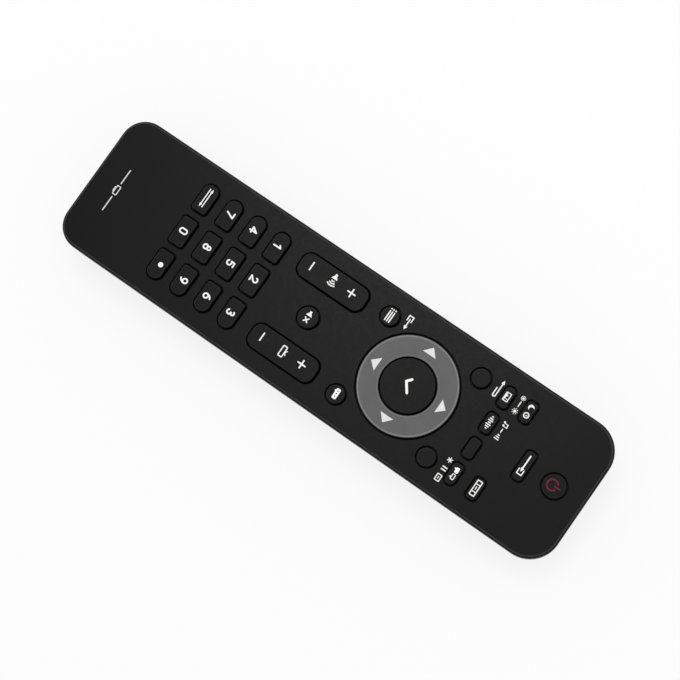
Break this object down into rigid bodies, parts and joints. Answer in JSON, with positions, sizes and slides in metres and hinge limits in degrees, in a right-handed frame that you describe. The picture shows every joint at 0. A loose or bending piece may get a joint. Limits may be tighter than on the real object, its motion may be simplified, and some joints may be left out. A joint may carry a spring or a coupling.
{
  "type": "television remote control",
  "caption": "Slim matte black handheld TV remote with number keys, volume and channel rockers, a grey four-way ring round a select key, and a sliding battery door.",
  "frame": {"origin": "middle of the underside, on the surface that the remote lies on", "axes": "+X to the right, +Y towards the power key and the infrared window, +Z out of the key face"},
  "size_m": [0.051, 0.2, 0.0212],
  "materials": {
    "case": "fine matte texture",
    "key": "smooth matte",
    "ring": "satin grey",
    "window": "polished, infrared clear",
    "mat": "matte",
    "board": "solder mask",
    "chip": "moulded",
    "resonator": "dipped",
    "capacitor": "sleeved",
    "lamp": "clear tinted",
    "contact": "nickel plated",
    "spring": "nickel plated",
    "cell": "wrapped",
    "screw": "black zinc"
  },
  "bodies": {
    "housing": {"top_housing": "case", "bottom_housing": "case", "keypad_mat": "mat", "circuit_board": "board", "controller_chip": "chip", "resonator": "resonator", "capacitor": "capacitor", "transistor": "chip", "chip_resistors": "chip", "ir_led": "lamp", "ir_window": "window", "bridge_contact": "contact", "positive_terminal": "contact", "negative_terminal": "contact", "battery_spring_1": "spring", "battery_spring_2": "spring", "battery_1": "cell", "battery_2": "cell", "case_screws": "screw"},
    "battery_door": {"battery_door": "case"},
    "volume_rocker": {"volume_rocker": "key"},
    "channel_rocker": {"channel_rocker": "key"},
    "navigation_pad": {"navigation_pad": "mat", "navigation_pills": "mat"},
    "navigation_ring": {"navigation_ring": "ring"},
    "ok_key": {"ok_key": "key"},
    "power_key": {"power_key": "key"},
    "source_key": {"source_key": "key"},
    "mute_key": {"mute_key": "key"},
    "menu_key": {"menu_key": "key"},
    "info_key": {"info_key": "key"},
    "back_key": {"back_key": "key"},
    "freeze_key": {"freeze_key": "key"},
    "sleep_key": {"sleep_key": "key"},
    "format_key": {"format_key": "key"},
    "picture_key": {"picture_key": "key"},
    "sound_key": {"sound_key": "key"},
    "blank_key": {"blank_key": "key"},
    "second_audio_key": {"second_audio_key": "key"},
    "key_1": {"key_1": "key"},
    "key_2": {"key_2": "key"},
    "key_3": {"key_3": "key"},
    "key_4": {"key_4": "key"},
    "key_5": {"key_5": "key"},
    "key_6": {"key_6": "key"},
    "key_7": {"key_7": "key"},
    "key_8": {"key_8": "key"},
    "key_9": {"key_9": "key"},
    "previous_channel_key": {"previous_channel_key": "key"},
    "key_0": {"key_0": "key"},
    "dot_key": {"dot_key": "key"}
  },
  "joints": [
    {"name": "battery_door_slide", "type": "slide", "parent": "housing", "child": "battery_door", "axis": [0, -1, 0], "range_m": [0, 0.062]},
    {"name": "volume_rock", "type": "hinge", "parent": "housing", "child": "volume_rocker", "pos_m": [-0.0144, -0.00935, 0.01732], "axis": [1, 0, 0], "range_deg": [-4, 4], "stiffness_Nm_per_rad": 0.2},
    {"name": "channel_rock", "type": "hinge", "parent": "housing", "child": "channel_rocker", "pos_m": [0.0144, -0.00935, 0.01732], "axis": [1, 0, 0], "range_deg": [-4, 4], "stiffness_Nm_per_rad": 0.2},
    {"name": "ring_up_down", "type": "hinge", "parent": "housing", "child": "navigation_pad", "pos_m": [0, 0.0311, 0.0186], "axis": [1, 0, 0], "range_deg": [-2.5, 2.5], "stiffness_Nm_per_rad": 0.25},
    {"name": "ring_left_right", "type": "hinge", "parent": "navigation_pad", "child": "navigation_ring", "pos_m": [0, 0.0311, 0.0186], "axis": [0, 1, 0], "range_deg": [-2.5, 2.5], "stiffness_Nm_per_rad": 0.25},
    {"name": "ok_press", "type": "slide", "parent": "housing", "child": "ok_key", "axis": [0, 0, -1], "range_m": [0, 0.001], "stiffness_N_per_m": 400},
    {"name": "power_press", "type": "slide", "parent": "housing", "child": "power_key", "axis": [0, 0, -1], "range_m": [0, 0.001], "stiffness_N_per_m": 400},
    {"name": "source_press", "type": "slide", "parent": "housing", "child": "source_key", "axis": [0, 0, -1], "range_m": [0, 0.001], "stiffness_N_per_m": 400},
    {"name": "mute_press", "type": "slide", "parent": "housing", "child": "mute_key", "axis": [0, 0, -1], "range_m": [0, 0.001], "stiffness_N_per_m": 400},
    {"name": "menu_press", "type": "slide", "parent": "housing", "child": "menu_key", "axis": [0, 0, -1], "range_m": [0, 0.001], "stiffness_N_per_m": 400},
    {"name": "info_press", "type": "slide", "parent": "housing", "child": "info_key", "axis": [0, 0, -1], "range_m": [0, 0.001], "stiffness_N_per_m": 400},
    {"name": "back_press", "type": "slide", "parent": "housing", "child": "back_key", "axis": [0, 0, -1], "range_m": [0, 0.001], "stiffness_N_per_m": 400},
    {"name": "freeze_press", "type": "slide", "parent": "housing", "child": "freeze_key", "axis": [0, 0, -1], "range_m": [0, 0.001], "stiffness_N_per_m": 400},
    {"name": "sleep_press", "type": "slide", "parent": "housing", "child": "sleep_key", "axis": [0, 0, -1], "range_m": [0, 0.001], "stiffness_N_per_m": 400},
    {"name": "format_press", "type": "slide", "parent": "housing", "child": "format_key", "axis": [0, 0, -1], "range_m": [0, 0.001], "stiffness_N_per_m": 400},
    {"name": "picture_press", "type": "slide", "parent": "housing", "child": "picture_key", "axis": [0, 0, -1], "range_m": [0, 0.001], "stiffness_N_per_m": 400},
    {"name": "sound_press", "type": "slide", "parent": "housing", "child": "sound_key", "axis": [0, 0, -1], "range_m": [0, 0.001], "stiffness_N_per_m": 400},
    {"name": "blank_press", "type": "slide", "parent": "housing", "child": "blank_key", "axis": [0, 0, -1], "range_m": [0, 0.001], "stiffness_N_per_m": 400},
    {"name": "second_audio_press", "type": "slide", "parent": "housing", "child": "second_audio_key", "axis": [0, 0, -1], "range_m": [0, 0.001], "stiffness_N_per_m": 400},
    {"name": "key_1_press", "type": "slide", "parent": "housing", "child": "key_1", "axis": [0, 0, -1], "range_m": [0, 0.001], "stiffness_N_per_m": 400},
    {"name": "key_2_press", "type": "slide", "parent": "housing", "child": "key_2", "axis": [0, 0, -1], "range_m": [0, 0.001], "stiffness_N_per_m": 400},
    {"name": "key_3_press", "type": "slide", "parent": "housing", "child": "key_3", "axis": [0, 0, -1], "range_m": [0, 0.001], "stiffness_N_per_m": 400},
    {"name": "key_4_press", "type": "slide", "parent": "housing", "child": "key_4", "axis": [0, 0, -1], "range_m": [0, 0.001], "stiffness_N_per_m": 400},
    {"name": "key_5_press", "type": "slide", "parent": "housing", "child": "key_5", "axis": [0, 0, -1], "range_m": [0, 0.001], "stiffness_N_per_m": 400},
    {"name": "key_6_press", "type": "slide", "parent": "housing", "child": "key_6", "axis": [0, 0, -1], "range_m": [0, 0.001], "stiffness_N_per_m": 400},
    {"name": "key_7_press", "type": "slide", "parent": "housing", "child": "key_7", "axis": [0, 0, -1], "range_m": [0, 0.001], "stiffness_N_per_m": 400},
    {"name": "key_8_press", "type": "slide", "parent": "housing", "child": "key_8", "axis": [0, 0, -1], "range_m": [0, 0.001], "stiffness_N_per_m": 400},
    {"name": "key_9_press", "type": "slide", "parent": "housing", "child": "key_9", "axis": [0, 0, -1], "range_m": [0, 0.001], "stiffness_N_per_m": 400},
    {"name": "previous_channel_press", "type": "slide", "parent": "housing", "child": "previous_channel_key", "axis": [0, 0, -1], "range_m": [0, 0.001], "stiffness_N_per_m": 400},
    {"name": "key_0_press", "type": "slide", "parent": "housing", "child": "key_0", "axis": [0, 0, -1], "range_m": [0, 0.001], "stiffness_N_per_m": 400},
    {"name": "dot_press", "type": "slide", "parent": "housing", "child": "dot_key", "axis": [0, 0, -1], "range_m": [0, 0.001], "stiffness_N_per_m": 400}
  ]
}
